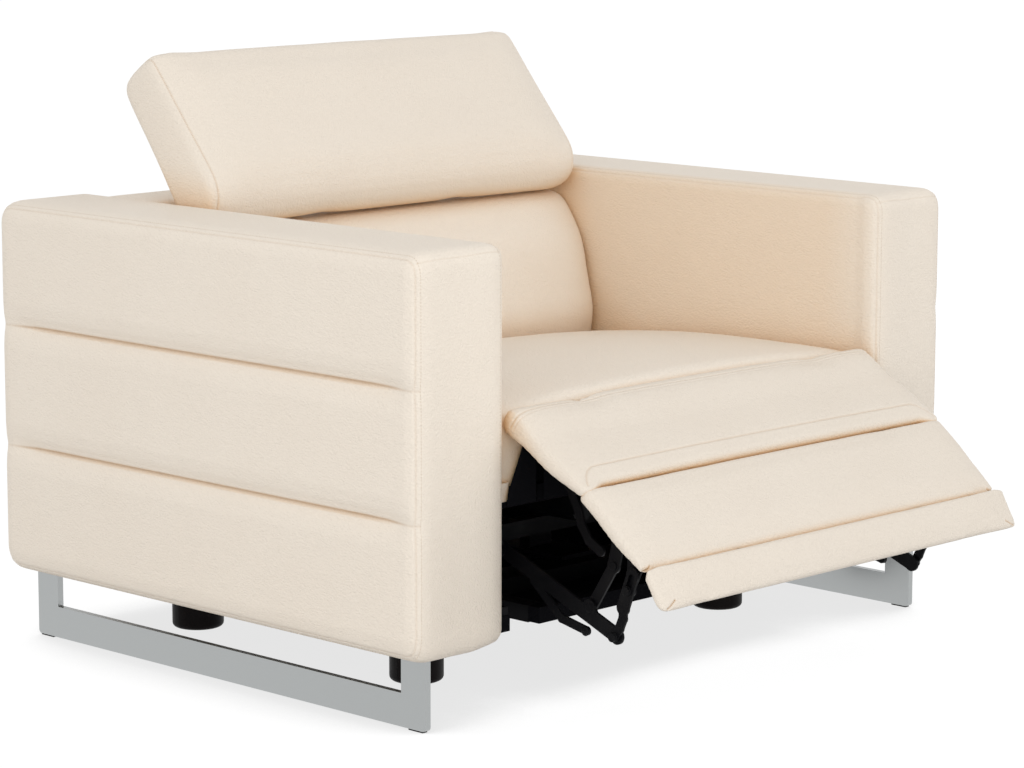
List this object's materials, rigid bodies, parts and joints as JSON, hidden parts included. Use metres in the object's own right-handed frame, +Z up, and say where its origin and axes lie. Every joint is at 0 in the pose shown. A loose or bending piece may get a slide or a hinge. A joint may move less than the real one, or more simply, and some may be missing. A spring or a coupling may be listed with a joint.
{
  "type": "recliner",
  "caption": "Cream leather wall-hugger recliner shown part open, with channelled arms, tilting headrest, folding footrest on black steel links, satin chrome sled legs and round feet",
  "frame": {"origin": "Midway between the toe pad's front and the arms' back, on the centre plane, at floor level", "axes": "+X to the sitter's left hand seen from behind, +Y from the footrest to the back, +Z up"},
  "size_m": [1.15, 1.1856, 0.8855],
  "materials": {
    "arm_leather": "fine-grained cream leather, soft",
    "seat_leather": "fine-grained cream leather, soft",
    "back_leather": "fine-grained cream leather, soft",
    "footrest_leather": "fine-grained cream leather, soft",
    "satin_chrome": "satin chrome plating",
    "black_steel": "satin black powder coat",
    "black_plastic": "matt black moulded plastic",
    "dark_cloth": "dark grey woven lining cloth",
    "frame_wood": "plain birch plywood"
  },
  "bodies": {
    "base": {"left_arm_cover": "arm_leather", "right_arm_cover": "arm_leather", "left_arm_frame": "frame_wood", "right_arm_frame": "frame_wood", "left_sled_leg": "satin_chrome", "right_sled_leg": "satin_chrome", "sled_glide_pads": "black_plastic", "sled_screws": "black_steel", "round_feet": "black_plastic", "front_rail": "dark_cloth", "base_rails": "black_steel", "dust_cover": "dark_cloth", "roller_tracks": "black_steel", "rear_valance": "arm_leather", "glide_motor": "black_steel", "back_guides": "black_steel", "power_inlet": "black_plastic", "switch_panel": "black_plastic"},
    "carriage": {"seat_frame": "frame_wood", "seat_webbing": "dark_cloth", "seat_cushion": "seat_leather", "seat_front_cloth": "dark_cloth", "seat_cheeks": "seat_leather", "side_plates": "black_steel", "cross_tube": "black_steel", "glide_rod": "satin_chrome", "flap_hinge_arms": "black_steel", "footrest_motor": "black_steel"},
    "front_rollers": {"front_rollers": "black_plastic"},
    "rear_rollers": {"rear_rollers": "black_plastic"},
    "back": {"back_frame": "frame_wood", "back_webbing": "dark_cloth", "back_cushion": "back_leather", "rear_shell": "back_leather", "back_brackets": "black_steel", "headrest_arms": "black_steel"},
    "headrest": {"headrest_cushion": "back_leather", "headrest_board": "frame_wood"},
    "flap": {"flap_pad": "footrest_leather", "flap_board": "black_steel", "flap_stays": "black_steel"},
    "main_pad": {"main_pad": "footrest_leather", "main_board": "black_steel", "main_brackets": "black_steel"},
    "toe_pad": {"toe_pad": "footrest_leather", "toe_board": "black_steel"},
    "cranks": {"drive_tube": "black_steel"},
    "long_links": {"long_links": "black_steel"},
    "front_links": {"front_links": "black_steel"},
    "upright_links": {"upright_links": "black_steel"},
    "open_button": {"open_button": "satin_chrome"},
    "close_button": {"close_button": "satin_chrome"}
  },
  "joints": [
    {"name": "glide", "type": "slide", "parent": "base", "child": "carriage", "axis": [0, -1, 0], "range_m": [0, 0.09]},
    {"name": "front_roll", "type": "hinge", "parent": "carriage", "child": "front_rollers", "pos_m": [0, -0.14218, 0.1513], "axis": [1, 0, 0], "range_deg": [0, 324]},
    {"name": "rear_roll", "type": "hinge", "parent": "carriage", "child": "rear_rollers", "pos_m": [0, 0.25782, 0.1513], "axis": [1, 0, 0], "range_deg": [0, 324]},
    {"name": "recline", "type": "hinge", "parent": "carriage", "child": "back", "pos_m": [0, 0.37782, 0.25], "axis": [-1, 0, 0], "range_deg": [0, 24]},
    {"name": "headrest_tilt", "type": "hinge", "parent": "back", "child": "headrest", "pos_m": [0, 0.35982, 0.69], "axis": [-1, 0, 0], "range_deg": [-25, 35]},
    {"name": "footrest", "type": "hinge", "parent": "carriage", "child": "flap", "pos_m": [0, -0.29818, 0.409], "axis": [-1, 0, 0], "range_deg": [-48, 35]},
    {"name": "main_fold", "type": "hinge", "parent": "flap", "child": "main_pad", "pos_m": [0, -0.4262, 0.33081], "axis": [-1, 0, 0], "range_deg": [-4, 3]},
    {"name": "toe_fold", "type": "hinge", "parent": "main_pad", "child": "toe_pad", "pos_m": [0, -0.5487, 0.2421], "axis": [-1, 0, 0], "range_deg": [-49, 36]},
    {"name": "drive", "type": "hinge", "parent": "carriage", "child": "cranks", "pos_m": [0, -0.18718, 0.278], "axis": [-1, 0, 0], "range_deg": [-93, 68]},
    {"name": "long_swing", "type": "hinge", "parent": "cranks", "child": "long_links", "pos_m": [0, -0.21918, 0.2203], "axis": [-1, 0, 0], "range_deg": [-47, 65]},
    {"name": "front_swing", "type": "hinge", "parent": "long_links", "child": "front_links", "pos_m": [0, -0.44318, 0.129], "axis": [-1, 0, 0], "range_deg": [-51, 70]},
    {"name": "upright_swing", "type": "hinge", "parent": "long_links", "child": "upright_links", "pos_m": [0, -0.39118, 0.161], "axis": [-1, 0, 0], "range_deg": [-47, 64]},
    {"name": "open_press", "type": "slide", "parent": "base", "child": "open_button", "axis": [-1, 0, 0], "range_m": [0, 0.0012], "stiffness_N_per_m": 400},
    {"name": "close_press", "type": "slide", "parent": "base", "child": "close_button", "axis": [-1, 0, 0], "range_m": [0, 0.0012], "stiffness_N_per_m": 400}
  ],
  "couplings": [
    {"joint": "front_roll", "follows": "glide", "rad_per_m": 62.5},
    {"joint": "rear_roll", "follows": "glide", "rad_per_m": 62.5},
    {"joint": "recline", "follows": "glide", "rad_per_m": 4.5},
    {"joint": "main_fold", "follows": "footrest", "ratio": 0.063},
    {"joint": "toe_fold", "follows": "footrest", "ratio": 0.85},
    {"joint": "drive", "follows": "footrest", "ratio": 1.918},
    {"joint": "long_swing", "follows": "footrest", "ratio": -1.326},
    {"joint": "front_swing", "follows": "footrest", "ratio": -1.429},
    {"joint": "upright_swing", "follows": "footrest", "ratio": -1.297}
  ]
}
